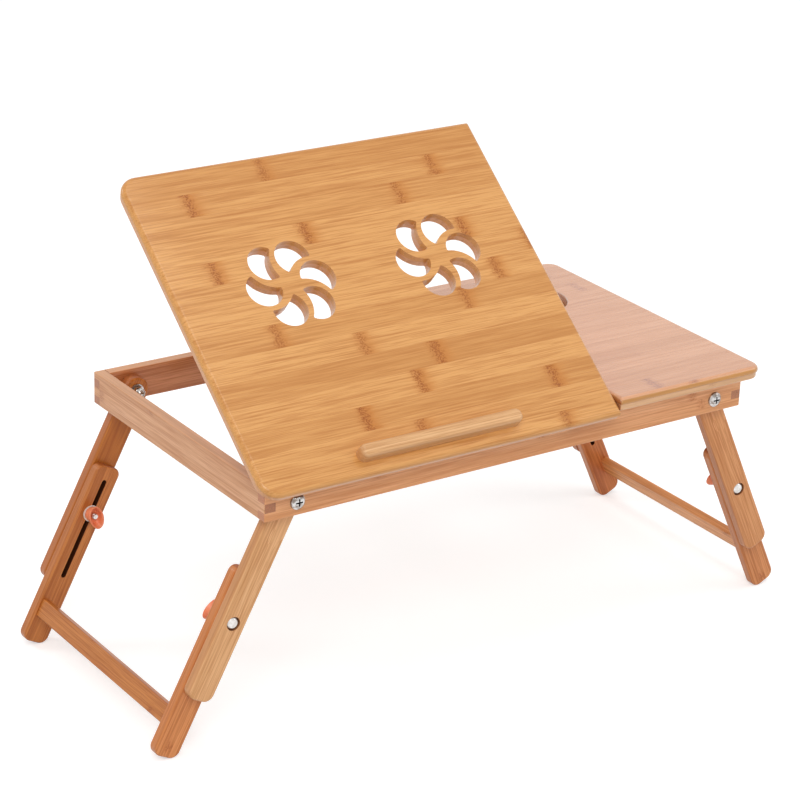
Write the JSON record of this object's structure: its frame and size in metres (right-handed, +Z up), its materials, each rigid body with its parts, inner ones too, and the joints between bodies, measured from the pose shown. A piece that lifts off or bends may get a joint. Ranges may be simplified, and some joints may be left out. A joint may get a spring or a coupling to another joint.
{
  "type": "folding bed table with a tilting reading panel",
  "caption": "Low bamboo bed table with folding height-adjustable legs, a fixed top with a cup hole and a tilting vented panel with a book stop.",
  "frame": {"origin": "on the floor under the middle of the table's outer box, legs out at the height shown and the panel up", "axes": "+X along the table to the right, from the tilting panel to the fixed top; +Y from the book stop's side to the back; +Z up"},
  "size_m": [0.6388, 0.3024, 0.4109],
  "materials": {
    "panel_bamboo": "gloss lacquered caramel bamboo strips",
    "fixed_top_bamboo": "gloss lacquered pale bamboo strips",
    "book_stop_bamboo": "satin bamboo",
    "rail_bamboo": "satin lacquered bamboo",
    "leg_bamboo": "satin lacquered bamboo",
    "beech": "plain sanded hardwood",
    "zinc_steel": "bright zinc plated",
    "screw_steel": "zinc plated",
    "orange_plastic": "moulded orange plastic",
    "pale_nylon": "pale nylon"
  },
  "bodies": {
    "table": {"front_rail": "rail_bamboo", "rear_rail": "rail_bamboo", "left_end_rail": "rail_bamboo", "right_end_rail": "rail_bamboo", "fixed_board": "fixed_top_bamboo", "fixed_backing": "fixed_top_bamboo", "fixed_top_dowels": "beech", "left_hinge_rail_leaf": "zinc_steel", "right_hinge_rail_leaf": "zinc_steel", "left_hinge_pin": "zinc_steel", "right_hinge_pin": "zinc_steel", "hinge_rail_screws": "screw_steel", "left_batten": "rail_bamboo", "seam_batten": "rail_bamboo", "left_rack": "beech", "seam_rack": "beech", "rack_screws": "screw_steel", "pivot_bolts": "zinc_steel", "pivot_washers": "zinc_steel", "pivot_acorn_nuts": "zinc_steel"},
    "tilt_panel": {"tilt_board": "panel_bamboo", "tilt_backing": "panel_bamboo", "book_stop": "book_stop_bamboo", "book_stop_screws": "screw_steel", "left_hinge_panel_leaf": "zinc_steel", "right_hinge_panel_leaf": "zinc_steel", "hinge_panel_screws": "screw_steel", "left_prop_bracket": "zinc_steel", "right_prop_bracket": "zinc_steel", "prop_bracket_screws": "screw_steel", "prop_pivot_pins": "zinc_steel"},
    "prop": {"left_prop_arm": "beech", "right_prop_arm": "beech", "prop_rod": "zinc_steel"},
    "left_upper_legs": {"left_front_upper_leg": "leg_bamboo", "left_rear_upper_leg": "leg_bamboo", "left_clamp_bolts": "zinc_steel", "left_clamp_washers": "pale_nylon"},
    "left_lower_legs": {"left_front_lower_leg": "leg_bamboo", "left_rear_lower_leg": "leg_bamboo", "left_crossbar": "leg_bamboo"},
    "left_front_thumb_nut": {"left_front_thumb_nut": "orange_plastic"},
    "left_rear_thumb_nut": {"left_rear_thumb_nut": "orange_plastic"},
    "right_upper_legs": {"right_front_upper_leg": "leg_bamboo", "right_rear_upper_leg": "leg_bamboo", "right_clamp_bolts": "zinc_steel", "right_clamp_washers": "pale_nylon"},
    "right_lower_legs": {"right_front_lower_leg": "leg_bamboo", "right_rear_lower_leg": "leg_bamboo", "right_crossbar": "leg_bamboo"},
    "right_front_thumb_nut": {"right_front_thumb_nut": "orange_plastic"},
    "right_rear_thumb_nut": {"right_rear_thumb_nut": "orange_plastic"}
  },
  "joints": [
    {"name": "panel_tilt", "type": "hinge", "parent": "table", "child": "tilt_panel", "pos_m": [-0.07, -0.13581, 0.22525], "axis": [-1, 0, 0], "range_deg": [0, 38.5]},
    {"name": "prop_fold", "type": "hinge", "parent": "tilt_panel", "child": "prop", "pos_m": [-0.02, -0.04586, 0.28887], "axis": [1, 0, 0], "range_deg": [0, 75.09]},
    {"name": "left_legs_fold", "type": "hinge", "parent": "table", "child": "left_upper_legs", "pos_m": [-0.2094, 0.00169, 0.20865], "axis": [0, -1, 0], "range_deg": [0, 117]},
    {"name": "left_legs_height", "type": "slide", "parent": "left_upper_legs", "child": "left_lower_legs", "axis": [0.454, 0, 0.891], "range_m": [-0.0284, 0.0582]},
    {"name": "left_front_nut_turn", "type": "hinge", "parent": "left_upper_legs", "child": "left_front_thumb_nut", "pos_m": [-0.25916, -0.10081, 0.11099], "axis": [0, 1, 0], "continuous": true},
    {"name": "left_rear_nut_turn", "type": "hinge", "parent": "left_upper_legs", "child": "left_rear_thumb_nut", "pos_m": [-0.25916, 0.10419, 0.11099], "axis": [0, -1, 0], "continuous": true},
    {"name": "right_legs_fold", "type": "hinge", "parent": "table", "child": "right_upper_legs", "pos_m": [0.20996, 0.00169, 0.20865], "axis": [0, 1, 0], "range_deg": [0, 115.5]},
    {"name": "right_legs_height", "type": "slide", "parent": "right_upper_legs", "child": "right_lower_legs", "axis": [-0.4305, 0, 0.9026], "range_m": [-0.03115, 0.05545]},
    {"name": "right_front_nut_turn", "type": "hinge", "parent": "right_upper_legs", "child": "right_front_thumb_nut", "pos_m": [0.25714, -0.10081, 0.10973], "axis": [0, 1, 0], "continuous": true},
    {"name": "right_rear_nut_turn", "type": "hinge", "parent": "right_upper_legs", "child": "right_rear_thumb_nut", "pos_m": [0.25714, 0.10419, 0.10973], "axis": [0, -1, 0], "continuous": true}
  ],
  "couplings": [
    {"joint": "prop_fold", "follows": "panel_tilt", "ratio": 1.95}
  ]
}
